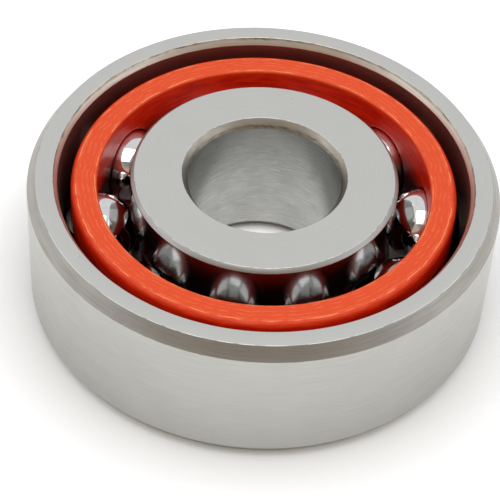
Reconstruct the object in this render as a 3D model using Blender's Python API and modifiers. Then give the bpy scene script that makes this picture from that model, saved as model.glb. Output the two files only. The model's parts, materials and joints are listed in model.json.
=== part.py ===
"""Single-row angular-contact ball bearing, 12 x 37 x 12 mm, lying on its lower side face.

The bearing comes apart into thirteen pieces, and each is its own object: the outer ring, the
inner ring, a one-piece cage machined from fabric laminate, and ten balls. Lengths are metres
and +Z is up along the shaft's axis. The origin is the centre of the lower side face. The outer
ring stands still. The inner ring, the cage and every ball turn, and the origin of each lies on
the axis that it turns about.
"""

import math

import bmesh
import bpy
from mathutils import Matrix, Vector

MM = 0.001

# Boundary dimensions of the whole bearing
BORE_RADIUS = 6.0 * MM
OUTER_RADIUS = 18.5 * MM
WIDTH = 12.0 * MM
MID_HEIGHT = WIDTH / 2

# Balls: 6 mm balls on one pitch circle
BALL_COUNT = 10
BALL_RADIUS = 3.0 * MM
PITCH_RADIUS = 12.95 * MM
BALL_PHASE = math.radians(6.2)
CONTACT_ANGLE = math.radians(15.0)

# Raceways: grooves a little wider than the balls, with a running gap at the bottom
RACE_GAP = 0.1 * MM
GROOVE_RADIUS = 1.04 * BALL_RADIUS
GROOVE_STEP = math.radians(6.0)

# Outer ring: a high shoulder below the balls, and a relieved side above them
HIGH_SHOULDER_RADIUS = 15.3 * MM
HIGH_SHOULDER_CHAMFER = 0.35 * MM
RETAINING_LIP_RADIUS = 15.75 * MM
RELIEF_RADIUS = 16.13 * MM
RELIEF_CHAMFER_RADIAL = 0.33 * MM
RELIEF_CHAMFER_AXIAL = 0.55 * MM
OUTER_CHAMFER_RADIAL = 0.71 * MM
OUTER_CHAMFER_AXIAL = 1.07 * MM

# Inner ring: equal shoulders above and below the groove
INNER_SHOULDER_RADIUS = 10.47 * MM
INNER_SHOULDER_CHAMFER = 0.31 * MM
BORE_CHAMFER_RADIAL = 0.48 * MM
BORE_CHAMFER_AXIAL = 0.73 * MM

# Cage: a band guided by the high shoulder, with one drilled pocket for each ball
CAGE_INNER_RADIUS = 13.05 * MM
CAGE_OUTER_RADIUS = 15.11 * MM
CAGE_SETBACK = 0.8 * MM
CAGE_INNER_ROUND = 0.25 * MM
CAGE_OUTER_ROUND = 0.5 * MM
CAGE_ROUND_STEPS = 3
POCKET_RADIUS = BALL_RADIUS + 0.1 * MM
POCKET_INNER_END = 12.4 * MM
POCKET_OUTER_END = 16.2 * MM

# Fineness of the round surfaces
RING_STEPS = 64
CAGE_STEPS = 6 * BALL_COUNT
POCKET_SIDES = 24
BALL_SEGMENTS = 20
BALL_RINGS = 10
SCREW_MERGE = 1e-6
SHARP_EDGE = math.radians(25.0)


def clear_scene():
    """Remove everything that the scene holds."""
    for existing in list(bpy.data.objects):
        bpy.data.objects.remove(existing, do_unlink=True)


def new_collection(name):
    """Make a collection and link it to the scene."""
    collection = bpy.data.collections.new(name)
    bpy.context.scene.collection.children.link(collection)
    return collection


def new_material(name, colour, metallic, roughness):
    """Make a Principled material from a linear colour and two surface values."""
    material = bpy.data.materials.new(name)
    material.use_nodes = True
    shader = material.node_tree.nodes["Principled BSDF"]
    shader.inputs["Base Color"].default_value = (*colour, 1.0)
    shader.inputs["Metallic"].default_value = metallic
    shader.inputs["Roughness"].default_value = roughness
    material.diffuse_color = (*colour, 1.0)
    return material


def arc(centre, radius, start, end, step):
    """Points on a circle of the (radius, height) plane, from one angle to another."""
    count = max(1, math.ceil(abs(end - start) / step))
    points = []
    for index in range(count + 1):
        angle = start + (end - start) * index / count
        points.append((centre[0] + radius * math.cos(angle), centre[1] + radius * math.sin(angle)))
    return points


def outer_ring_profile():
    """Outline of the outer ring: down the outside, in along the bottom, up the raceway."""
    groove_bottom = PITCH_RADIUS + BALL_RADIUS + RACE_GAP
    centre = (groove_bottom - GROOVE_RADIUS, MID_HEIGHT)
    shoulder_angle = math.acos((HIGH_SHOULDER_RADIUS - centre[0]) / GROOVE_RADIUS)
    lip_angle = math.acos((RETAINING_LIP_RADIUS - centre[0]) / GROOVE_RADIUS)
    face_edge = OUTER_RADIUS - OUTER_CHAMFER_RADIAL
    outside = [
        (face_edge, WIDTH),
        (OUTER_RADIUS, WIDTH - OUTER_CHAMFER_AXIAL),
        (OUTER_RADIUS, OUTER_CHAMFER_AXIAL),
        (face_edge, 0.0),
    ]
    shoulder = [
        (HIGH_SHOULDER_RADIUS + HIGH_SHOULDER_CHAMFER, 0.0),
        (HIGH_SHOULDER_RADIUS, HIGH_SHOULDER_CHAMFER),
    ]
    groove = arc(centre, GROOVE_RADIUS, -shoulder_angle, lip_angle, GROOVE_STEP)
    relief = [
        (RELIEF_RADIUS, WIDTH - RELIEF_CHAMFER_AXIAL),
        (RELIEF_RADIUS + RELIEF_CHAMFER_RADIAL, WIDTH),
    ]
    return outside + shoulder + groove + relief


def inner_ring_profile():
    """Outline of the inner ring: down over the raceway, in along the bottom, up the bore."""
    groove_bottom = PITCH_RADIUS - BALL_RADIUS - RACE_GAP
    centre = (groove_bottom + GROOVE_RADIUS, MID_HEIGHT)
    half_angle = math.acos((centre[0] - INNER_SHOULDER_RADIUS) / GROOVE_RADIUS)
    face_edge = INNER_SHOULDER_RADIUS - INNER_SHOULDER_CHAMFER
    bore_edge = BORE_RADIUS + BORE_CHAMFER_RADIAL
    top_shoulder = [
        (face_edge, WIDTH),
        (INNER_SHOULDER_RADIUS, WIDTH - INNER_SHOULDER_CHAMFER),
    ]
    groove = arc(centre, GROOVE_RADIUS, math.pi - half_angle, math.pi + half_angle, GROOVE_STEP)
    bottom_shoulder = [
        (INNER_SHOULDER_RADIUS, INNER_SHOULDER_CHAMFER),
        (face_edge, 0.0),
    ]
    bore = [
        (bore_edge, 0.0),
        (BORE_RADIUS, BORE_CHAMFER_AXIAL),
        (BORE_RADIUS, WIDTH - BORE_CHAMFER_AXIAL),
        (bore_edge, WIDTH),
    ]
    return top_shoulder + groove + bottom_shoulder + bore


def cage_profile():
    """Outline of the cage: a tall rectangle with its four corners rounded."""
    outer = CAGE_OUTER_RADIUS - CAGE_OUTER_ROUND
    inner = CAGE_INNER_RADIUS + CAGE_INNER_ROUND
    top = WIDTH - CAGE_SETBACK
    bottom = CAGE_SETBACK
    corners = [
        (outer, top - CAGE_OUTER_ROUND, CAGE_OUTER_ROUND),
        (outer, bottom + CAGE_OUTER_ROUND, CAGE_OUTER_ROUND),
        (inner, bottom + CAGE_INNER_ROUND, CAGE_INNER_ROUND),
        (inner, top - CAGE_INNER_ROUND, CAGE_INNER_ROUND),
    ]
    quarter = math.pi / 2
    step = quarter / CAGE_ROUND_STEPS
    points = []
    for index, (radius, height, rounding) in enumerate(corners):
        start = quarter - index * quarter
        points += arc((radius, height), rounding, start, start - quarter, step)
    return points


def turned_object(name, profile, steps, collection):
    """Turn a closed (radius, height) outline about Z into a ring."""
    mesh = bpy.data.meshes.new(name)
    shape = bmesh.new()
    vertices = [shape.verts.new((radius, 0.0, height)) for radius, height in profile]
    for index, vertex in enumerate(vertices):
        shape.edges.new((vertex, vertices[(index + 1) % len(vertices)]))
    shape.to_mesh(mesh)
    shape.free()
    turned = bpy.data.objects.new(name, mesh)
    collection.objects.link(turned)
    screw = turned.modifiers.new("Turn", "SCREW")
    screw.axis = "Z"
    screw.angle = 2 * math.pi
    screw.steps = steps
    screw.render_steps = steps
    screw.use_merge_vertices = True
    screw.merge_threshold = SCREW_MERGE
    return turned


def settle(turned, material):
    """Keep the shape that the modifiers give, shade it smooth and dress it."""
    depsgraph = bpy.context.evaluated_depsgraph_get()
    mesh = bpy.data.meshes.new_from_object(turned.evaluated_get(depsgraph))
    turned.modifiers.clear()
    turned.data = mesh
    mesh.name = turned.name
    mesh.shade_smooth()
    mesh.set_sharp_from_angle(angle=SHARP_EDGE)
    mesh.materials.clear()
    mesh.materials.append(material)
    return turned


def ball_azimuth(index):
    """Angle of a ball and of its pocket about the shaft's axis."""
    return BALL_PHASE + 2 * math.pi * index / BALL_COUNT


def pocket_cutters(collection):
    """One radial cylinder for each pocket, all in one cutting object."""
    shape = bmesh.new()
    length = POCKET_OUTER_END - POCKET_INNER_END
    middle = (POCKET_OUTER_END + POCKET_INNER_END) / 2
    lay_down = Matrix.Translation((middle, 0.0, MID_HEIGHT)) @ Matrix.Rotation(math.pi / 2, 4, "Y")
    for index in range(BALL_COUNT):
        bmesh.ops.create_cone(
            shape,
            cap_ends=True,
            segments=POCKET_SIDES,
            radius1=POCKET_RADIUS,
            radius2=POCKET_RADIUS,
            depth=length,
            matrix=Matrix.Rotation(ball_azimuth(index), 4, "Z") @ lay_down,
        )
    mesh = bpy.data.meshes.new("pocket_cutters")
    shape.to_mesh(mesh)
    shape.free()
    cutters = bpy.data.objects.new("pocket_cutters", mesh)
    cutters.hide_render = True
    cutters.display_type = "WIRE"
    collection.objects.link(cutters)
    return cutters


def build_cage(collection, cutter_collection, material):
    """Turn the cage's band and drill a pocket through it for each ball."""
    cage = turned_object("cage", cage_profile(), CAGE_STEPS, collection)
    drill = cage.modifiers.new("Pockets", "BOOLEAN")
    drill.operation = "DIFFERENCE"
    drill.solver = "EXACT"
    drill.object = pocket_cutters(cutter_collection)
    return settle(cage, material)


def ball_mesh(material):
    """The mesh that all the balls share: a sphere with its poles on the spin axis."""
    shape = bmesh.new()
    bmesh.ops.create_uvsphere(
        shape, u_segments=BALL_SEGMENTS, v_segments=BALL_RINGS, radius=BALL_RADIUS
    )
    mesh = bpy.data.meshes.new("ball")
    shape.to_mesh(mesh)
    shape.free()
    mesh.shade_smooth()
    mesh.materials.append(material)
    return mesh


def build_balls(collection, cage, material):
    """Place a ball in each pocket, with its local Z along the axis that it spins about."""
    mesh = ball_mesh(material)
    for index in range(BALL_COUNT):
        azimuth = ball_azimuth(index)
        outwards = Vector((math.cos(azimuth), math.sin(azimuth), 0.0))
        ball = bpy.data.objects.new(f"ball_{index + 1:02d}", mesh)
        ball.location = PITCH_RADIUS * outwards + Vector((0.0, 0.0, MID_HEIGHT))
        ball.rotation_euler = (0.0, CONTACT_ANGLE, azimuth)
        ball.parent = cage
        collection.objects.link(ball)


def main():
    """Build the bearing."""
    clear_scene()
    bearing = new_collection("ball_bearing")
    cutters = new_collection("ball_bearing_cutters")
    ring_steel = new_material("ring_steel", (0.56, 0.55, 0.53), 1.0, 0.35)
    ball_steel = new_material("ball_steel", (0.75, 0.75, 0.76), 1.0, 0.08)
    laminate = new_material("cage_laminate", (0.70, 0.10, 0.04), 0.0, 0.45)
    settle(turned_object("outer_ring", outer_ring_profile(), RING_STEPS, bearing), ring_steel)
    settle(turned_object("inner_ring", inner_ring_profile(), RING_STEPS, bearing), ring_steel)
    cage = build_cage(bearing, cutters, laminate)
    build_balls(bearing, cage, ball_steel)


main()
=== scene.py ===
"""Looks of an open angular-contact ball bearing: ground rings, polished balls, laminate cage.

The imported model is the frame. Every node of it is replaced by a finer piece of the same size in
the same place, which rides on the same body: two turned steel rings, a machined cage with a
drilled pocket for each ball, and the balls. A round surface's finish is worked out from the
radius, the angle and the height about the shaft's axis, so that grinding lines and the layers of
the laminate run round the bearing as they do on a real one.
"""

import json
import logging
import math
from dataclasses import dataclass
from enum import Enum

import bmesh
import bpy
from mathutils import Matrix, Vector


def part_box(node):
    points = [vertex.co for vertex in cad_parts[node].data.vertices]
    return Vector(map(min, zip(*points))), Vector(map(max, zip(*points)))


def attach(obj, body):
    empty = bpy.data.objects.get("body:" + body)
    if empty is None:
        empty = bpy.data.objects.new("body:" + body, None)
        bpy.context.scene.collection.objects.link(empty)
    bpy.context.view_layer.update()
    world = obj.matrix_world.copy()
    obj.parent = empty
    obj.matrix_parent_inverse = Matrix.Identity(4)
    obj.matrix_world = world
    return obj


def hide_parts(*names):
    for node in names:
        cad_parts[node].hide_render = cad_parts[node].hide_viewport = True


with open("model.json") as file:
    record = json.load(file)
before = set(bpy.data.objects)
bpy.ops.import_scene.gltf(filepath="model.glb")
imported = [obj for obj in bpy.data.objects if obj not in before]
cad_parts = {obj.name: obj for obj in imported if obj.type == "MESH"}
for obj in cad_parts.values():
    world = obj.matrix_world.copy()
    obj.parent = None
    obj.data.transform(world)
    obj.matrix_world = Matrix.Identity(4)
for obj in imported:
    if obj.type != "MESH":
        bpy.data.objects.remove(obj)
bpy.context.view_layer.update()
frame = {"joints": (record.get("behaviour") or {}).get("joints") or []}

LOG = logging.getLogger("ball_bearing")
MM = 0.001
MERGE = 0.001 * MM  # corners that lie nearer than this are joined
USUAL_NOISE = (0.3, 0.7)  # where most of a noise's values lie
Colour = tuple[float, float, float]
Socket = bpy.types.NodeSocket


class Zone(Enum):
    """The stretches of a ring's outline, each of which is finished in its own way."""

    SIDE_FACE = "side_face"
    OUTSIDE = "outside"
    CHAMFER = "chamfer"
    LAND_CHAMFER = "land_chamfer"
    SHOULDER_CHAMFER = "shoulder_chamfer"
    BORE_CHAMFER = "bore_chamfer"
    LAND = "land"
    RACEWAY = "raceway"
    SHOULDER = "shoulder"
    BORE = "bore"


class Sum(Enum):
    """The arithmetic that the finishes use, by its name in a Math node."""

    ADD = "ADD"
    SUBTRACT = "SUBTRACT"
    MULTIPLY = "MULTIPLY"
    DIVIDE = "DIVIDE"
    ABSOLUTE = "ABSOLUTE"
    SINE = "SINE"
    MAXIMUM = "MAXIMUM"


@dataclass(frozen=True)
class BallRow:
    """The row of balls that the rings and the cage are made round.

    Attributes:
        radius: A ball's radius, in metres.
        pitch_radius: Radius of the circle that the balls' centres lie on.
        gap: Running gap at the bottom of each raceway.
        count: How many balls there are.
        groove_ratio: The raceways' groove radius, in ball radii.
    """

    radius: float = 3.0 * MM
    pitch_radius: float = 12.95 * MM
    gap: float = 0.1 * MM
    count: int = 10
    groove_ratio: float = 1.04

    def groove(self) -> float:
        """The radius of the raceways' grooves, a little wider than the balls."""
        return self.groove_ratio * self.radius


@dataclass(frozen=True)
class RoundPlace:
    """Where a point of a surface is about the shaft's axis, as sockets.

    Attributes:
        along: Cosine and sine of the angle about the axis.
        radius: Distance from the axis, in metres.
        height: Height above the lower side face, in metres.
    """

    along: tuple[Socket, Socket]
    radius: Socket
    height: Socket


class Graph:
    """The nodes of a material or of the room, with a short call for each kind of node."""

    def __init__(self, owner: bpy.types.Material | bpy.types.World, shader: str) -> None:
        """Start with the nodes that a new material or a new world has.

        Args:
            owner: The material or the world.
            shader: The name of its shader's node.
        """
        owner.use_nodes = True
        self.owner = owner
        self.tree = owner.node_tree
        self.shader = self.tree.nodes[shader]

    def feed(self, socket: Socket, value: object) -> None:
        """Link a socket to another, or set it to a plain value.

        Args:
            socket: The input.
            value: An output socket, a number or a tuple of numbers.
        """
        if isinstance(value, bpy.types.NodeSocket):
            self.tree.links.new(value, socket)
        else:
            socket.default_value = value

    def node(self, kind: str) -> bpy.types.Node:
        """Add a node by its type's name."""
        return self.tree.nodes.new(kind)

    def maths(self, operation: Sum, first: object, second: object = 0.0) -> Socket:
        """Work out one number from two.

        Args:
            operation: What to do with them.
            first: A socket or a number.
            second: A socket or a number.

        Returns:
            The result's socket.
        """
        node = self.node("ShaderNodeMath")
        node.operation = operation.value
        self.feed(node.inputs[0], first)
        self.feed(node.inputs[1], second)
        return node.outputs[0]

    def fade(
        self, value: Socket, start: float, end: float, low: float = 0.0, high: float = 1.0,
        kind: str = "SMOOTHSTEP",
    ) -> Socket:
        """Turn a number into a step from one result to another.

        Args:
            value: The number.
            start: Where the step begins.
            end: Where it ends.
            low: The result before the step.
            high: The result after it.
            kind: How the result goes from one to the other.

        Returns:
            The result's socket.
        """
        node = self.node("ShaderNodeMapRange")
        node.interpolation_type = kind
        self.feed(node.inputs["Value"], value)
        self.feed(node.inputs["From Min"], start)
        self.feed(node.inputs["From Max"], end)
        self.feed(node.inputs["To Min"], low)
        self.feed(node.inputs["To Max"], high)
        return node.outputs["Result"]

    def scale(self, value: Socket, low: float, high: float) -> Socket:
        """Spread a noise's usual values evenly between two numbers."""
        return self.fade(value, *USUAL_NOISE, low, high, "LINEAR")

    def blend(self, share: object, first: object, second: object) -> Socket:
        """Mix two colours.

        Args:
            share: How much of the second one shows, from 0 to 1.
            first: A colour or its socket.
            second: A colour or its socket.

        Returns:
            The mixed colour's socket.
        """
        node = self.node("ShaderNodeMix")
        node.data_type = "RGBA"
        self.feed(node.inputs[0], share)
        for socket, colour in ((node.inputs[6], first), (node.inputs[7], second)):
            self.feed(socket, colour if isinstance(colour, bpy.types.NodeSocket) else (*colour, 1.0))
        return node.outputs[2]

    def position(self) -> Socket:
        """The point of the surface, in the frame's own coordinates."""
        return self.node("ShaderNodeTexCoord").outputs["Object"]

    def round_place(self) -> RoundPlace:
        """Work out where a point is about the shaft's axis.

        Returns:
            The place, as sockets.
        """
        split = self.node("ShaderNodeSeparateXYZ")
        self.feed(split.inputs[0], self.position())
        flat = self.node("ShaderNodeCombineXYZ")
        self.feed(flat.inputs["X"], split.outputs["X"])
        self.feed(flat.inputs["Y"], split.outputs["Y"])
        length = self.node("ShaderNodeVectorMath")
        length.operation = "LENGTH"
        self.feed(length.inputs[0], flat.outputs[0])
        radius = length.outputs["Value"]
        cosine = self.maths(Sum.DIVIDE, split.outputs["X"], radius)
        sine = self.maths(Sum.DIVIDE, split.outputs["Y"], radius)
        return RoundPlace((cosine, sine), radius, split.outputs["Z"])

    def cloud(self, size: float, detail: float = 3.0, warp: float = 0.0) -> Socket:
        """Even noise with blotches of one size.

        Args:
            size: The blotches' size, in metres.
            detail: How many finer octaves it has.
            warp: How much it is distorted.

        Returns:
            The noise's socket, from 0 to 1.
        """
        node = self.node("ShaderNodeTexNoise")
        self.feed(node.inputs["Vector"], self.position())
        self.feed(node.inputs["Scale"], 1.0 / size)
        self.feed(node.inputs["Detail"], detail)
        self.feed(node.inputs["Distortion"], warp)
        return node.outputs["Fac"]

    def wrap(self, place: RoundPlace, turns: float, spacing: float) -> Socket:
        """Make a noise's point that runs round the axis and meets itself again.

        Args:
            place: Where the surface's point is.
            turns: How far the noise moves on the way round, in blotches a radian.
            spacing: A blotch's size along the radius, in metres.

        Returns:
            The point's socket.
        """
        joined = self.node("ShaderNodeCombineXYZ")
        self.feed(joined.inputs["X"], self.maths(Sum.MULTIPLY, place.along[0], turns))
        self.feed(joined.inputs["Y"], self.maths(Sum.MULTIPLY, place.along[1], turns))
        self.feed(joined.inputs["Z"], self.maths(Sum.DIVIDE, place.radius, spacing))
        return joined.outputs[0]

    def streaks(
        self, place: RoundPlace, turns: float, spacing: float, detail: float = 2.0
    ) -> Socket:
        """Noise drawn out round the axis, as a tool or a grinding wheel leaves it.

        Args:
            place: Where the point is.
            turns: How fast it changes on the way round, in blotches a radian.
            spacing: Its grain across the lines, in metres.
            detail: How many finer octaves it has.

        Returns:
            The noise's socket, from 0 to 1.
        """
        node = self.node("ShaderNodeTexNoise")
        node.noise_dimensions = "4D"
        self.feed(node.inputs["Vector"], self.wrap(place, turns, spacing))
        self.feed(node.inputs["W"], self.maths(Sum.DIVIDE, place.height, spacing))
        self.feed(node.inputs["Scale"], 1.0)
        self.feed(node.inputs["Detail"], detail)
        return node.outputs["Fac"]

    def ripple(self, place: RoundPlace, turns: float, drift: float) -> Socket:
        """A wave that runs round the axis, and changes slowly from one layer to the next.

        Args:
            place: Where the point is.
            turns: How fast it changes on the way round, in waves a radian.
            drift: How far across the layers it stays the same, in metres.

        Returns:
            The wave's socket, from -0.5 to 0.5.
        """
        node = self.node("ShaderNodeTexNoise")
        self.feed(node.inputs["Vector"], self.wrap(place, turns, drift))
        self.feed(node.inputs["Scale"], 1.0)
        self.feed(node.inputs["Detail"], 1.0)
        return self.maths(Sum.SUBTRACT, node.outputs["Fac"], 0.5)

    def line(self, value: Socket, centre: object, width: float) -> Socket:
        """Mark where a number is near another one.

        Args:
            value: The number.
            centre: The other one, a socket or a number.
            width: How far from it the mark reaches.

        Returns:
            The mark's socket, 1 on the line and 0 off it.
        """
        distance = self.maths(Sum.ABSOLUTE, self.maths(Sum.SUBTRACT, value, centre))
        return self.fade(distance, 0.0, width, 1.0, 0.0)

    def bump(self, height: Socket, depth: float) -> None:
        """Give the shader's normal a relief.

        Args:
            height: The relief, from 0 to 1.
            depth: How deep it is, in metres.
        """
        node = self.node("ShaderNodeBump")
        self.feed(node.inputs["Height"], height)
        self.feed(node.inputs["Distance"], depth)
        self.feed(self.shader.inputs["Normal"], node.outputs["Normal"])

    def dress(self, **values: object) -> bpy.types.Material | bpy.types.World:
        """Set the shader's inputs and finish.

        Args:
            **values: Sockets or values, by the input's name with underscores for its blanks.

        Returns:
            The material or the world.
        """
        for name, value in values.items():
            self.feed(self.shader.inputs[name.replace("_", " ")], value)
        return self.owner


def material_graph(name: str) -> Graph:
    """Start a new material."""
    return Graph(bpy.data.materials.new(name), "Principled BSDF")


@dataclass(frozen=True)
class SteelFinish:
    """Bearing steel, machined round the shaft's axis.

    Attributes:
        name: The material's name.
        colour: Its usual colour.
        shade: Its colour in the lines and the cloudy parts.
        roughness: Its usual roughness.
        spread: How far the roughness changes with the lines.
        spacing: The grain across the lines, in millimetres.
        depth: The lines' depth, in millimetres.
        clouds: How much of the shade the cloudy parts take.
        pit_colour: Its colour in the few small pits.
        scale_line: Radius of a ragged line of scale, in millimetres, or 0 for none.
        scale_colour: The colour of that line.
        scale_width: How far the line reaches to each side, in millimetres.
        scale_wander: How far it leaves its radius.
        scale_gaps: Size of the gaps in it.
        turns: How fast the lines change on the way round, in blotches a radian.
        cloud_size: Size of the cloudy parts, in millimetres.
        pit_size: Size of the pits.
    """

    name: str
    colour: Colour
    shade: Colour
    roughness: float
    spread: float = 0.05
    spacing: float = 0.10
    depth: float = 0.0008
    clouds: float = 0.35
    pit_colour: Colour = (0.20, 0.19, 0.17)
    scale_line: float = 0.0
    scale_colour: Colour = (0.17, 0.13, 0.08)
    scale_width: float = 0.12
    scale_wander: float = 0.16
    scale_gaps: float = 0.9
    turns: float = 6.0
    cloud_size: float = 3.0
    pit_size: float = 0.4

    def scale_mark(self, graph: Graph, place: RoundPlace) -> Socket:
        """Mark the ragged line of scale.

        Args:
            graph: The material's nodes.
            place: Where the point is.

        Returns:
            The mark's socket, 1 in the line and 0 off it.
        """
        wander = graph.maths(Sum.MULTIPLY, graph.ripple(place, 9.0, 1.0), self.scale_wander * MM)
        centre = graph.maths(Sum.ADD, wander, self.scale_line * MM)
        mark = graph.line(place.radius, centre, self.scale_width * MM)
        broken = graph.scale(graph.cloud(self.scale_gaps * MM), 0.2, 1.0)
        return graph.maths(Sum.MULTIPLY, mark, broken)

    def material(self) -> bpy.types.Material:
        """Build the finish.

        Returns:
            The material.
        """
        graph = material_graph(self.name)
        place = graph.round_place()
        lines = graph.streaks(place, self.turns, self.spacing * MM)
        cloudy = graph.cloud(self.cloud_size * MM)
        share = graph.maths(
            Sum.ADD,
            graph.scale(lines, 0.0, 1.0 - self.clouds),
            graph.scale(cloudy, 0.0, self.clouds),
        )
        colour = graph.blend(share, self.colour, self.shade)
        pits = graph.fade(graph.cloud(self.pit_size * MM, 2.0), 0.73, 0.80, 0.0, 0.35)
        colour = graph.blend(pits, colour, self.pit_colour)
        if self.scale_line:
            colour = graph.blend(self.scale_mark(graph, place), colour, self.scale_colour)
        graph.bump(lines, self.depth * MM)
        return graph.dress(
            Base_Color=colour,
            Metallic=1.0,
            Roughness=graph.scale(lines, self.roughness - self.spread, self.roughness + self.spread),
        )


@dataclass(frozen=True)
class LaminateFinish:
    """Woven fabric wound in resin, then machined, so that the layers show as wavy lines.

    Attributes:
        name: The material's name.
        band: The band's inner and outer radii, in metres.
        middle: Height of the middle of the band.
        reach: Distance from there to the end faces.
        cut: Colour of the cut fabric on the end faces.
        thread: Colour of the threads that show there.
        rim_highlight: Colour of the painted highlight along the rims, drawn as a layer that shows
            there.
        edge: Colour of the resin on the rounded outer rims.
        wall: Colour of the smooth walls.
        deep: Colour of the walls' darker streaks.
        painted_deep_shade: Painted shade, the colour that the walls darken to halfway up, round the
            pockets, deep between the rings.
        layer: Distance from one layer to the next, in metres.
        wander: How far the layers wander in and out.
        relief: Height of the relief that the cut layers leave.
    """

    name: str
    band: tuple[float, float]
    middle: float
    reach: float
    cut: Colour = (0.77, 0.075, 0.012)
    thread: Colour = (0.90, 0.185, 0.065)
    # painted highlight along the rims
    rim_highlight: Colour = (0.96, 0.27, 0.10)
    edge: Colour = (0.75, 0.040, 0.002)
    wall: Colour = (0.95, 0.024, 0.002)
    deep: Colour = (0.72, 0.011, 0.001)
    # painted shade deep between the rings
    painted_deep_shade: Colour = (0.05, 0.005, 0.004)
    layer: float = 0.37 * MM
    wander: float = 0.50 * MM
    relief: float = 0.012 * MM

    def face_colour(self, graph: Graph, layers: Socket, rise: Socket, fibres: Socket) -> Socket:
        """Colour the end faces: cut fabric, with threads where a layer comes to the surface.

        Args:
            graph: The material's nodes.
            layers: The radius with the layers' wander in it.
            rise: How far a layer stands out, from -1 to 1.
            fibres: The fabric's grain.

        Returns:
            The colour's socket.
        """
        patches = graph.cloud(0.8 * MM, 2.0)
        threads = graph.maths(
            Sum.MULTIPLY, graph.fade(rise, 0.3, 1.0), graph.fade(patches, 0.38, 0.64, 0.0, 0.5)
        )
        rim = graph.fade(layers, self.band[1] - 0.44 * MM, self.band[1] - 0.30 * MM)
        colour = graph.blend(graph.fade(fibres, 0.35, 0.7, 0.0, 0.3), self.cut, self.edge)
        colour = graph.blend(threads, colour, self.thread)
        return graph.blend(rim, colour, self.edge)

    def wall_colour(self, graph: Graph, place: RoundPlace, from_middle: Socket) -> Socket:
        """Colour the walls: streaked resin, darkened by painted shade halfway up, round the pockets.

        Args:
            graph: The material's nodes.
            place: Where the point is.
            from_middle: Its distance from the band's middle height.

        Returns:
            The colour's socket.
        """
        streaky = graph.fade(graph.streaks(place, 7.0, 0.35 * MM), 0.36, 0.62)
        # painted shade: the walls darken towards the band's middle height, deep in the gap between
        # the rings
        height = graph.fade(from_middle, self.reach - 4.2 * MM, self.reach - 1.9 * MM)
        return graph.blend(height, self.painted_deep_shade, graph.blend(streaky, self.deep, self.wall))

    def rim_highlight_mark(self, graph: Graph, place: RoundPlace, wave: Socket) -> Socket:
        """Mark the painted highlight along both rims, drawn as layers that show in broken lines.

        Args:
            graph: The material's nodes.
            place: Where the point is.
            wave: How far the layers wander there, in metres.

        Returns:
            The mark's socket, 1 in the lines and 0 off them.
        """
        broken = graph.fade(graph.cloud(1.3 * MM), 0.40, 0.62, 0.05, 0.95)
        calm = graph.maths(Sum.ADD, place.radius, graph.maths(Sum.MULTIPLY, wave, 0.45))
        both = graph.maths(
            Sum.MAXIMUM,
            graph.line(calm, self.band[1] - 0.42 * MM, 0.10 * MM),
            graph.line(calm, self.band[0] + 0.17 * MM, 0.08 * MM),
        )
        return graph.maths(Sum.MULTIPLY, both, broken)

    def material(self) -> bpy.types.Material:
        """Build the finish.

        Returns:
            The material.
        """
        graph = material_graph(self.name)
        place = graph.round_place()
        wave = graph.maths(Sum.MULTIPLY, graph.ripple(place, 12.0, 1.6 * MM), self.wander)
        layers = graph.maths(Sum.ADD, place.radius, wave)
        rise = graph.maths(Sum.SINE, graph.maths(Sum.MULTIPLY, layers, 2 * math.pi / self.layer))
        fibres = graph.streaks(place, 22.0, 0.10 * MM, 3.0)
        from_middle = graph.maths(
            Sum.ABSOLUTE, graph.maths(Sum.SUBTRACT, place.height, self.middle)
        )
        near_end = graph.fade(from_middle, self.reach - 0.45 * MM, self.reach - 0.20 * MM)
        end = graph.fade(from_middle, self.reach - 0.14 * MM, self.reach - 0.04 * MM)
        # painted highlight: broken bright lines where the end faces meet their roundings
        rim_highlights = graph.maths(Sum.MULTIPLY, self.rim_highlight_mark(graph, place, wave), near_end)
        colour = graph.blend(near_end, self.wall_colour(graph, place, from_middle), self.edge)
        colour = graph.blend(end, colour, self.face_colour(graph, layers, rise, fibres))
        relief = graph.maths(Sum.ADD, graph.maths(Sum.MULTIPLY, fibres, 0.5), rise)
        graph.bump(graph.maths(Sum.ADD, relief, rim_highlights), self.relief)
        return graph.dress(
            Base_Color=graph.blend(rim_highlights, colour, self.rim_highlight),
            Roughness=graph.fade(end, 0.0, 1.0, 0.40, 0.48),
            Specular_IOR_Level=0.30,
            Coat_Weight=0.10,
            Coat_Roughness=0.12,
        )


@dataclass(frozen=True)
class BallFinish:
    """Lapped ball steel: a mirror with the faintest of lapping marks."""

    name: str = "ball_steel_lapped"
    colour: Colour = (0.88, 0.875, 0.865)
    roughness: float = 0.035

    def material(self) -> bpy.types.Material:
        """Build the finish.

        Returns:
            The material.
        """
        graph = material_graph(self.name)
        marks = graph.cloud(0.4 * MM, 4.0, 0.5)
        shade = tuple(0.95 * part for part in self.colour)
        return graph.dress(
            Base_Color=graph.blend(graph.fade(marks, 0.35, 0.65), self.colour, shade),
            Metallic=1.0,
            Roughness=graph.scale(marks, self.roughness - 0.01, self.roughness + 0.015),
        )


@dataclass(frozen=True)
class Stretch:
    """A run of a ring's outline between two corners.

    Attributes:
        zone: Which part of the ring it is.
        points: Its (radius, height) points, in metres.
    """

    zone: Zone
    points: tuple[tuple[float, float], ...]


def arc(
    centre: tuple[float, float], radius: float, start: float, end: float, steps: int
) -> list[tuple[float, float]]:
    """Work out the points of an arc in the plane of radius and height.

    Args:
        centre: The arc's centre.
        radius: The arc's radius.
        start: The first point's angle, in radians.
        end: The last point's angle.
        steps: How many chords it has.

    Returns:
        The points, both ends among them.
    """
    angles = [start + (end - start) * index / steps for index in range(steps + 1)]
    return [(centre[0] + radius * math.cos(a), centre[1] + radius * math.sin(a)) for a in angles]


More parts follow.
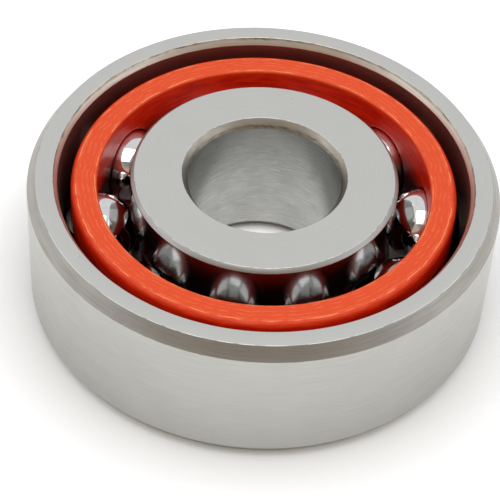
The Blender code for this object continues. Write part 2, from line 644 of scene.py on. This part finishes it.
def publish(
    shape: bmesh.types.BMesh, name: str, materials: list[bpy.types.Material]
) -> bpy.types.Object:
    """Turn a finished bmesh into a smooth piece of the scene.

    Args:
        shape: The shape, which is freed.
        name: The piece's name.
        materials: The materials that its faces index.

    Returns:
        The piece.
    """
    mesh = bpy.data.meshes.new(name)
    shape.to_mesh(mesh)
    shape.free()
    mesh.shade_smooth()
    for material in materials:
        mesh.materials.append(material)
    piece = bpy.data.objects.new(name, mesh)
    bpy.context.scene.collection.objects.link(piece)
    return piece


def grow(
    shape: bmesh.types.BMesh, edges: list[bmesh.types.BMEdge]
) -> tuple[list[bmesh.types.BMVert], list[bmesh.types.BMEdge]]:
    """Extrude a loop of edges, and leave the new loop where the old one is.

    Args:
        shape: The bmesh.
        edges: The loop.

    Returns:
        The new loop's vertices and edges.
    """
    made = bmesh.ops.extrude_edge_only(shape, edges=edges)["geom"]
    points = [part for part in made if isinstance(part, bmesh.types.BMVert)]
    lines = [part for part in made if isinstance(part, bmesh.types.BMEdge)]
    return points, [line for line in lines if set(points).issuperset(line.verts)]


@dataclass
class TurnedRing:
    """A steel ring turned from a closed outline.

    Attributes:
        node: The CAD node that it stands for, which is its body's name too.
        name: The piece's name.
        finishes: The finish of each zone of its outline.
        width: The ring's width, in metres.
        row: The balls that run in it.
        steps: How many strips go round it.
        groove_steps: How many chords the raceway's arc has.
        edge_break: Rounding of its sharp edges, in metres.
        edge_strips: How many strips that rounding has.
        edge_angle: The smallest angle between faces that counts as an edge, in degrees.
    """

    node: str
    name: str
    finishes: dict[Zone, SteelFinish]
    width: float
    row: BallRow
    steps: int = 288
    groove_steps: int = 20
    edge_break: float = 0.04 * MM
    edge_strips: int = 3
    edge_angle: float = 12.0

    def outline(self) -> list[Stretch]:
        """The ring's outline, as stretches that join end to end."""
        raise NotImplementedError

    def shape(self, zones: list[Zone]) -> bmesh.types.BMesh:
        """Turn each stretch of the outline about the shaft's axis.

        Args:
            zones: The zones in the order of the materials.

        Returns:
            The closed ring.
        """
        shape = bmesh.new()
        for stretch in self.outline():
            points = [shape.verts.new((radius, 0.0, height)) for radius, height in stretch.points]
            edges = [shape.edges.new(pair) for pair in zip(points, points[1:])]
            before = set(shape.faces)
            bmesh.ops.spin(
                shape, geom=points + edges, cent=(0.0, 0.0, 0.0), axis=(0.0, 0.0, 1.0),
                angle=2 * math.pi, steps=self.steps, use_merge=True,
            )
            for face in set(shape.faces) - before:
                face.material_index = zones.index(stretch.zone)
        bmesh.ops.remove_doubles(shape, verts=shape.verts, dist=MERGE)
        bmesh.ops.recalc_face_normals(shape, faces=shape.faces)
        return shape

    def soften(self, piece: bpy.types.Object) -> None:
        """Round the ring's sharp edges and keep its broad surfaces even.

        Args:
            piece: The ring's piece.
        """
        bevel = piece.modifiers.new("edge_break", "BEVEL")
        bevel.width = self.edge_break
        bevel.segments = self.edge_strips
        bevel.limit_method = "ANGLE"
        bevel.angle_limit = math.radians(self.edge_angle)
        piece.modifiers.new("even_shading", "WEIGHTED_NORMAL")

    def build(self) -> bpy.types.Object:
        """Make the ring, dress it and put it on its body.

        Returns:
            The piece.
        """
        zones = list(self.finishes)
        materials = [self.finishes[zone].material() for zone in zones]
        piece = publish(self.shape(zones), self.name, materials)
        self.soften(piece)
        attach(piece, self.node)
        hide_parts(self.node)
        return piece


@dataclass
class OuterRing(TurnedRing):
    """The outer ring: a high shoulder below the balls and a relieved land above them.

    Attributes:
        radius: Radius of the outside, in metres.
        outside_chamfer: Radial and axial size of the two outside chamfers.
        land_chamfer: The same for the chamfer above the land.
        land_radius: Radius of the land at that chamfer.
        lip_radius: Radius of the lip that keeps the balls in.
        shoulder_radius: Radius of the high shoulder.
        shoulder_chamfer: Size of the chamfer below it.
    """

    radius: float = 18.5 * MM
    outside_chamfer: tuple[float, float] = (0.71 * MM, 1.07 * MM)
    land_chamfer: tuple[float, float] = (0.33 * MM, 0.55 * MM)
    land_radius: float = 16.13 * MM
    lip_radius: float = 15.75 * MM
    shoulder_radius: float = 15.3 * MM
    shoulder_chamfer: float = 0.35 * MM

    def outline(self) -> list[Stretch]:
        """The outline, down the outside, in along the bottom and up over the raceway.

        Returns:
            The stretches.
        """
        groove = self.row.groove()
        centre = (self.row.pitch_radius + self.row.radius + self.row.gap - groove, self.width / 2)
        low = -math.acos((self.shoulder_radius - centre[0]) / groove)
        high = math.acos((self.lip_radius - centre[0]) / groove)
        raceway = arc(centre, groove, low, high, self.groove_steps)
        top = self.width
        radial, axial = self.outside_chamfer
        face_edge = (self.radius - radial, top)
        wall_top = (self.radius, top - axial)
        wall_bottom = (self.radius, axial)
        foot_edge = (self.radius - radial, 0.0)
        shoulder_foot = (self.shoulder_radius + self.shoulder_chamfer, 0.0)
        shoulder_edge = (self.shoulder_radius, self.shoulder_chamfer)
        land_top = (self.land_radius, top - self.land_chamfer[1])
        land_edge = (self.land_radius + self.land_chamfer[0], top)
        return [
            Stretch(Zone.CHAMFER, (face_edge, wall_top)),
            Stretch(Zone.OUTSIDE, (wall_top, wall_bottom)),
            Stretch(Zone.CHAMFER, (wall_bottom, foot_edge)),
            Stretch(Zone.SIDE_FACE, (foot_edge, shoulder_foot)),
            Stretch(Zone.LAND_CHAMFER, (shoulder_foot, shoulder_edge)),
            Stretch(Zone.LAND, (shoulder_edge, raceway[0])),
            Stretch(Zone.RACEWAY, tuple(raceway)),
            Stretch(Zone.LAND, (raceway[-1], land_top)),
            Stretch(Zone.LAND_CHAMFER, (land_top, land_edge)),
            Stretch(Zone.SIDE_FACE, (land_edge, face_edge)),
        ]


@dataclass
class InnerRing(TurnedRing):
    """The inner ring: a bored ring with equal polished shoulders.

    Attributes:
        bore_radius: Radius of the bore, in metres.
        shoulder_radius: Radius of both shoulders.
        bore_chamfer: Radial and axial size of the chamfers of the bore.
        shoulder_chamfer: Size of the chamfers of the shoulders.
    """

    groove_steps: int = 28
    bore_radius: float = 6.0 * MM
    shoulder_radius: float = 10.47 * MM
    bore_chamfer: tuple[float, float] = (0.48 * MM, 0.73 * MM)
    shoulder_chamfer: float = 0.31 * MM

    def outline(self) -> list[Stretch]:
        """The outline, down over the raceway, in along the bottom and up the bore.

        Returns:
            The stretches.
        """
        groove = self.row.groove()
        centre = (self.row.pitch_radius - self.row.radius - self.row.gap + groove, self.width / 2)
        half = math.acos((centre[0] - self.shoulder_radius) / groove)
        raceway = arc(centre, groove, math.pi - half, math.pi + half, self.groove_steps)
        top = self.width
        chamfer = self.shoulder_chamfer
        radial, axial = self.bore_chamfer
        face_edge = (self.shoulder_radius - chamfer, top)
        shoulder_top = (self.shoulder_radius, top - chamfer)
        shoulder_bottom = (self.shoulder_radius, chamfer)
        foot_edge = (self.shoulder_radius - chamfer, 0.0)
        bore_foot = (self.bore_radius + radial, 0.0)
        bore_low = (self.bore_radius, axial)
        bore_high = (self.bore_radius, top - axial)
        bore_edge = (self.bore_radius + radial, top)
        return [
            Stretch(Zone.SHOULDER_CHAMFER, (face_edge, shoulder_top)),
            Stretch(Zone.SHOULDER, (shoulder_top, raceway[0])),
            Stretch(Zone.RACEWAY, tuple(raceway)),
            Stretch(Zone.SHOULDER, (raceway[-1], shoulder_bottom)),
            Stretch(Zone.SHOULDER_CHAMFER, (shoulder_bottom, foot_edge)),
            Stretch(Zone.SIDE_FACE, (foot_edge, bore_foot)),
            Stretch(Zone.BORE_CHAMFER, (bore_foot, bore_low)),
            Stretch(Zone.BORE, (bore_low, bore_high)),
            Stretch(Zone.BORE_CHAMFER, (bore_high, bore_edge)),
            Stretch(Zone.SIDE_FACE, (bore_edge, face_edge)),
        ]


@dataclass
class Cage:
    """The cage: a laminate band with a drilled pocket for each ball.

    Attributes:
        outer_radius: Radius of the outer wall, in metres.
        bottom: Height of the lower end face.
        top: Height of the upper end face.
        phase: Angle of the first pocket, in radians.
        row: The balls that it holds.
        inner_radius: Radius of the inner wall.
        slack: How much wider than a ball a pocket's radius is.
        inner_round: Rounding of the inner rims.
        outer_round: Rounding of the outer rims.
        pocket_edge: Rounding of the pockets' edges.
        pocket_sides: How many sides a pocket's round has, a multiple of eight.
        pocket_cuts: How many rings of corners lie between a pocket's two ends.
        web_steps: How many strips lie between a pocket and the edge of its share.
        round_steps: How many strips a rim's rounding has.
        edge_strips: How many strips the rounding of a pocket's edge has.
        edge_angle: The smallest angle between faces that counts as an edge, in degrees.
    """

    outer_radius: float
    bottom: float
    top: float
    phase: float
    row: BallRow
    inner_radius: float = 13.05 * MM
    slack: float = 0.1 * MM
    inner_round: float = 0.25 * MM
    outer_round: float = 0.5 * MM
    pocket_edge: float = 0.1 * MM
    pocket_sides: int = 64
    pocket_cuts: int = 3
    web_steps: int = 6
    round_steps: int = 6
    edge_strips: int = 3
    edge_angle: float = 40.0

    def on_wall(
        self, turn: tuple[float, float], share: float, radius: float, rounding: float
    ) -> Vector:
        """Place a point of one pocket's share of a wall.

        Args:
            turn: Cosine and sine of the point's angle about the pocket's axis.
            share: How far out it is, from 0 at the pocket's edge to 1 at the edge of the share.
            radius: The wall's radius.
            rounding: How far below the end faces the wall stops.

        Returns:
            The point, on the wall about the shaft's axis.
        """
        pocket = self.row.radius + self.slack
        reach = max(abs(turn[0]), abs(turn[1]))
        hole = Vector((radius * math.asin(pocket * turn[0] / radius), pocket * turn[1]))
        half_width = math.pi * radius / self.row.count
        half_height = (self.top - self.bottom) / 2 - rounding
        rim = Vector((half_width * turn[0] / reach, half_height * turn[1] / reach))
        across, rise = hole.lerp(rim, share)
        angle = across / radius
        level = (self.bottom + self.top) / 2 + rise
        return Vector((radius * math.cos(angle), radius * math.sin(angle), level))

    def panel(
        self, shape: bmesh.types.BMesh, radius: float, rounding: float
    ) -> list[bmesh.types.BMEdge]:
        """Make one pocket's share of a wall: a rectangle with a round hole.

        Args:
            shape: The bmesh to make it in.
            radius: The wall's radius.
            rounding: How far below the end faces the wall stops.

        Returns:
            The edges of the hole.
        """
        points = bmesh.ops.create_circle(shape, segments=self.pocket_sides, radius=1.0)["verts"]
        edges = list({edge for vertex in points for edge in vertex.link_edges})
        hole = edges
        rings = [points]
        for _ in range(self.web_steps):
            points, edges = grow(shape, edges)
            rings.append(points)
        for index, ring in enumerate(rings):
            for vertex in ring:
                turn = (vertex.co.x, vertex.co.y)
                vertex.co = self.on_wall(turn, index / self.web_steps, radius, rounding)
        return hole

    def sector(self) -> bmesh.types.BMesh:
        """Make one pocket's share of both walls, with the pocket between them.

        Returns:
            The share, open at its ends and sides.
        """
        shape = bmesh.new()
        inner_hole = self.panel(shape, self.inner_radius, self.inner_round)
        outer_hole = self.panel(shape, self.outer_radius, self.outer_round)
        drilled = bmesh.ops.bridge_loops(shape, edges=inner_hole + outer_hole)
        rulings = list(set(drilled["edges"]) - set(inner_hole) - set(outer_hole))
        bmesh.ops.subdivide_edges(shape, edges=rulings, cuts=self.pocket_cuts, use_grid_fill=True)
        turn = Matrix.Rotation(self.phase, 3, "Z")
        bmesh.ops.rotate(shape, verts=shape.verts, cent=(0.0, 0.0, 0.0), matrix=turn)
        return shape

    def close_end(self, shape: bmesh.types.BMesh, upwards: float) -> None:
        """Carry the outer wall on over its rim, across the end face and down to the inner wall.

        Args:
            shape: The band's walls.
            upwards: 1 for the upper end and -1 for the lower one.
        """
        middle = (self.bottom + self.top) / 2
        reach = (self.top - self.bottom) / 2
        quarter = math.pi / 2
        outer, inner = self.outer_round, self.inner_round
        near = 0.01 * MM
        over = (self.outer_radius - outer, reach - outer)
        down = (self.inner_radius + inner, reach - inner)
        path = arc(over, outer, 0.0, quarter, self.round_steps)
        path += arc(down, inner, quarter, math.pi, self.round_steps)
        start = middle + upwards * path[0][1]
        rim = [
            edge
            for edge in shape.edges
            if edge.is_boundary
            and all(abs(v.co.z - start) < near for v in edge.verts)
            and all(abs(v.co.xy.length - self.outer_radius) < near for v in edge.verts)
        ]
        for radius, rise in path[1:]:
            points, rim = grow(shape, rim)
            for vertex in points:
                flat = vertex.co.xy.normalized() * radius
                vertex.co = (flat.x, flat.y, middle + upwards * rise)

    def shape(self) -> bmesh.types.BMesh:
        """Repeat the sector round the band, join the repeats and close the ends.

        Returns:
            The closed cage.
        """
        share = bpy.data.meshes.new("cage_share")
        sector = self.sector()
        sector.to_mesh(share)
        sector.free()
        whole = bmesh.new()
        for index in range(self.row.count):
            start = len(whole.verts)
            whole.from_mesh(share)
            whole.verts.ensure_lookup_table()
            turn = Matrix.Rotation(2 * math.pi * index / self.row.count, 3, "Z")
            bmesh.ops.rotate(whole, verts=whole.verts[start:], cent=(0.0, 0.0, 0.0), matrix=turn)
        bpy.data.meshes.remove(share)
        bmesh.ops.remove_doubles(whole, verts=whole.verts, dist=MERGE)
        self.close_end(whole, 1.0)
        self.close_end(whole, -1.0)
        bmesh.ops.remove_doubles(whole, verts=whole.verts, dist=MERGE)
        bmesh.ops.recalc_face_normals(whole, faces=whole.faces)
        sharp = math.radians(self.edge_angle)
        mouths = [edge for edge in whole.edges if edge.calc_face_angle(0.0) > sharp]
        bmesh.ops.bevel(
            whole, geom=mouths, offset=self.pocket_edge, segments=self.edge_strips,
            profile=0.5, affect="EDGES", material=-1,
        )
        return whole

    def build(self) -> bpy.types.Object:
        """Make the cage, dress it and put it on its body.

        Returns:
            The piece.
        """
        finish = LaminateFinish(
            name="fabric_laminate",
            band=(self.inner_radius, self.outer_radius),
            middle=(self.bottom + self.top) / 2,
            reach=(self.top - self.bottom) / 2,
        )
        piece = publish(self.shape(), "cage_band", [finish.material()])
        piece.modifiers.new("even_shading", "WEIGHTED_NORMAL")
        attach(piece, "cage")
        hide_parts("cage")
        return piece


@dataclass
class BallSet:
    """The balls, each where its own joint is.

    Attributes:
        row: The row's sizes.
        segments: How many strips go round a ball.
        finish: What the balls are finished like.
    """

    row: BallRow
    segments: int = 96
    finish: BallFinish = BallFinish()

    def build(self, joints: list[dict]) -> list[bpy.types.Object]:
        """Make a ball at each ball's joint.

        Args:
            joints: The frame's joints.

        Returns:
            The balls.
        """
        material = self.finish.material()
        balls = []
        for joint in joints:
            body = joint["child"]
            if not body.startswith("ball_"):
                continue
            pole = Vector(joint["axis"]).to_track_quat("Z", "X").to_matrix().to_4x4()
            place = Matrix.Translation(joint["pos_m"]) @ pole
            shape = bmesh.new()
            bmesh.ops.create_uvsphere(
                shape, u_segments=self.segments, v_segments=self.segments // 2,
                radius=self.row.radius, matrix=place,
            )
            ball = publish(shape, f"{body}_lapped", [material])
            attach(ball, body)
            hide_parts(body)
            balls.append(ball)
        return balls


@dataclass(frozen=True)
class SkyPatch:
    """A round part of the room that is darker than the rest.

    Attributes:
        azimuth: Where it is about Z, in degrees.
        elevation: Its height above the table, in degrees.
        core: Radius of its even part, in degrees.
        edge: Radius at which it ends.
        colour: Its colour.
    """

    azimuth: float
    elevation: float
    core: float
    edge: float
    colour: Colour

    def direction(self) -> tuple[float, float, float]:
        """The direction of its centre."""
        around, up = math.radians(self.azimuth), math.radians(self.elevation)
        return (math.cos(up) * math.cos(around), math.cos(up) * math.sin(around), math.sin(up))


@dataclass(frozen=True)
class Softbox:
    """A soft square light that points at the subject.

    Attributes:
        name: Its name.
        place: Where it hangs, in metres.
        size: Its side.
        power: Its power, in watts.
    """

    name: str
    place: tuple[float, float, float]
    size: float
    power: float

    def hang(self) -> None:
        """Put the light in the scene."""
        light = bpy.data.lights.new(self.name, "AREA")
        light.shape = "SQUARE"
        light.size = self.size
        light.energy = self.power
        lamp = bpy.data.objects.new(self.name, light)
        lamp.location = self.place
        lamp.rotation_euler = (-lamp.location).to_track_quat("-Z", "Y").to_euler()
        lamp.visible_camera = False
        bpy.context.scene.collection.objects.link(lamp)


@dataclass
class Studio:
    """A white table under soft light, with the camera above and in front.

    Attributes:
        subject_radius: Radius of what is shown, in metres.
        subject_top: Height of its upper face.
        elevation: The camera's angle above the table, in degrees.
        roll: How far the camera leans, in degrees.
        lens: Its focal length, in millimetres.
        clip: The nearest and the farthest that it sees, in metres.
        distance: Its distance, in diameters of the subject.
        aim_right: How far right of the upper face's centre it points, in diameters.
        aim_down: How far below that centre it points.
        sky_colour: The room's own light.
        patches: The darker parts of the room.
        softboxes: The lights.
        table_reach: Half the side of the table top.
        table_drop: How far the table lies below the subject.
        glow: Strength of the table's own light round the subject.
        glow_start: Where that light begins and where it is full, in radii of the subject.
        bore_glow: Strength of the table's own light in the bore.
        bore_glow_end: Radii between which that light fades out, in metres.
    """

    subject_radius: float
    subject_top: float
    elevation: float = 45.96
    roll: float = 3.66
    lens: float = 137.8
    clip: tuple[float, float] = (0.01, 20.0)
    distance: float = 4.028
    aim_right: float = -0.0314
    aim_down: float = 0.1611
    sky_colour: Colour = (0.71, 0.715, 0.72)
    patches: tuple[SkyPatch, ...] = (
        SkyPatch(-90.0, 18.0, 26.0, 62.0, (0.46, 0.385, 0.30)),
        SkyPatch(-90.0, 46.0, 8.0, 20.0, (0.24, 0.24, 0.24)),
    )
    softboxes: tuple[Softbox, ...] = (
        Softbox("left_softbox", (-0.7, 0.05, 0.45), 0.9, 1.6),
        Softbox("right_softbox", (0.7, 0.05, 0.45), 0.9, 1.6),
        Softbox("front_softbox", (0.0, -0.30, 0.85), 0.7, 2.4),
    )
    table_reach: float = 2.0
    table_drop: float = 0.02 * MM
    glow: float = 0.36
    glow_start: tuple[float, float] = (0.9, 1.6)
    bore_glow: float = 0.6
    bore_glow_end: tuple[float, float] = (5.0 * MM, 6.4 * MM)

    def camera(self) -> None:
        """Set up the camera."""
        tilt = math.radians(self.elevation)
        lean = math.radians(self.roll)
        forward = Vector((0.0, math.cos(tilt), -math.sin(tilt)))
        upright = Vector((0.0, math.sin(tilt), math.cos(tilt)))
        right = math.cos(lean) * Vector((1.0, 0.0, 0.0)) + math.sin(lean) * upright
        up = right.cross(forward)
        diameter = 2 * self.subject_radius
        aim = Vector((0.0, 0.0, self.subject_top))
        aim += diameter * (self.aim_right * right - self.aim_down * up)
        camera = bpy.data.objects.new("camera", bpy.data.cameras.new("camera"))
        camera.data.lens = self.lens
        camera.data.clip_start, camera.data.clip_end = self.clip
        turn = Matrix((right, up, -forward)).transposed().to_4x4()
        camera.matrix_world = Matrix.Translation(aim - self.distance * diameter * forward) @ turn
        bpy.context.scene.collection.objects.link(camera)
        bpy.context.scene.camera = camera

    def floor(self) -> None:
        """Lay the white table top."""
        shape = bmesh.new()
        bmesh.ops.create_grid(shape, x_segments=1, y_segments=1, size=self.table_reach)
        bmesh.ops.translate(shape, verts=shape.verts, vec=(0.0, 0.0, -self.table_drop))
        graph = material_graph("white_table")
        radius = graph.round_place().radius
        start, full = (share * self.subject_radius for share in self.glow_start)
        around = graph.fade(radius, start, full, 0.0, self.glow)
        under_bore = graph.fade(radius, *self.bore_glow_end, self.bore_glow, 0.0)
        table = graph.dress(
            Base_Color=(0.93, 0.93, 0.93, 1.0),
            Roughness=0.8,
            Emission_Color=(1.0, 1.0, 1.0, 1.0),
            Emission_Strength=graph.maths(Sum.MAXIMUM, around, under_bore),
        )
        publish(shape, "floor", [table])

    def sky(self) -> None:
        """Light the room evenly, and darker where the camera stands."""
        graph = Graph(bpy.data.worlds.new("studio"), "Background")
        where = graph.node("ShaderNodeTexCoord").outputs["Generated"]
        colour = self.sky_colour
        for patch in self.patches:
            towards = graph.node("ShaderNodeVectorMath")
            towards.operation = "DOT_PRODUCT"
            graph.feed(towards.inputs[0], where)
            graph.feed(towards.inputs[1], patch.direction())
            limits = [math.cos(math.radians(angle)) for angle in (patch.edge, patch.core)]
            share = graph.fade(towards.outputs["Value"], *limits)
            colour = graph.blend(share, colour, patch.colour)
        bpy.context.scene.world = graph.dress(Color=colour)

    def build(self) -> None:
        """Set up the camera, the table and the light."""
        self.camera()
        self.floor()
        self.sky()
        for softbox in self.softboxes:
            softbox.hang()
        bpy.context.scene.view_settings.view_transform = "Standard"


RING_FINISHES: dict[Zone, SteelFinish] = {
    Zone.SIDE_FACE: SteelFinish("ground_face", (0.73, 0.725, 0.70), (0.68, 0.675, 0.65), 0.34),
    Zone.OUTSIDE: SteelFinish("ground_wall", (0.47, 0.47, 0.445), (0.42, 0.42, 0.395), 0.38),
    Zone.CHAMFER: SteelFinish(
        "turned_chamfer", (0.37, 0.355, 0.33), (0.28, 0.265, 0.24), 0.40,
        spacing=0.16, depth=0.002,
    ),
    Zone.LAND_CHAMFER: SteelFinish(
        "turned_land_chamfer", (0.72, 0.67, 0.60), (0.50, 0.45, 0.38), 0.42,
        spacing=0.12, depth=0.002, scale_line=16.43,
    ),
    Zone.BORE_CHAMFER: SteelFinish(
        "turned_bore_chamfer", (0.47, 0.44, 0.40), (0.33, 0.30, 0.26), 0.40,
        spacing=0.16, depth=0.002, scale_line=6.10,
    ),
    Zone.SHOULDER_CHAMFER: SteelFinish(
        "turned_shoulder_chamfer", (0.40, 0.385, 0.37), (0.31, 0.295, 0.28), 0.36
    ),
    # painted shade and painted reflection: the land's colour is darkened and tinted brown for the
    # shaded gap and the cage reflected in it
    Zone.LAND: SteelFinish("ground_land_painted_shade", (0.37, 0.31, 0.27), (0.24, 0.20, 0.17), 0.40),
    Zone.RACEWAY: SteelFinish(
        "honed_raceway", (0.38, 0.375, 0.365), (0.31, 0.305, 0.295), 0.06, 0.02
    ),
    Zone.SHOULDER: SteelFinish(
        "polished_shoulder", (0.32, 0.325, 0.32), (0.24, 0.24, 0.235), 0.15, 0.03
    ),
    Zone.BORE: SteelFinish(
        "ground_bore", (0.45, 0.45, 0.435), (0.30, 0.30, 0.285), 0.32,
        spread=0.06, spacing=0.09, depth=0.001, clouds=0.5,
    ),
}


def zones_of(*wanted: Zone) -> dict[Zone, SteelFinish]:
    """Pick the finishes that a ring needs, in the order of its materials."""
    return {zone: RING_FINISHES[zone] for zone in wanted}


def main() -> None:
    """Build the studio, then each part of the bearing on its body."""
    logging.basicConfig(level=logging.INFO, format="%(name)s: %(message)s")
    ring_low, ring_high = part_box("outer_ring")
    cage_low, cage_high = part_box("cage")
    joints = frame["joints"]
    first = next(joint for joint in joints if joint["child"] == "ball_01")
    row = BallRow(pitch_radius=Vector(first["pos_m"]).xy.length)
    Studio(ring_high.x, ring_high.z).build()
    rings = [
        OuterRing(
            node="outer_ring",
            name="outer_ring_turned",
            finishes=zones_of(
                Zone.SIDE_FACE, Zone.OUTSIDE, Zone.CHAMFER, Zone.LAND_CHAMFER, Zone.LAND, Zone.RACEWAY
            ),
            width=ring_high.z - ring_low.z,
            row=row,
            radius=ring_high.x,
        ),
        InnerRing(
            node="inner_ring",
            name="inner_ring_turned",
            finishes=zones_of(
                Zone.SIDE_FACE, Zone.BORE_CHAMFER, Zone.SHOULDER_CHAMFER, Zone.SHOULDER,
                Zone.RACEWAY, Zone.BORE,
            ),
            width=ring_high.z - ring_low.z,
            row=row,
            shoulder_radius=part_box("inner_ring")[1].x,
        ),
    ]
    pieces = [ring.build() for ring in rings]
    cage = Cage(
        outer_radius=cage_high.x,
        bottom=cage_low.z,
        top=cage_high.z,
        phase=math.atan2(first["pos_m"][1], first["pos_m"][0]),
        row=row,
    )
    pieces.append(cage.build())
    pieces += BallSet(row).build(joints)
    for piece in pieces:
        LOG.info("%s: %d vertices", piece.name, len(piece.data.vertices))


if __name__ == "__main__":
    main()
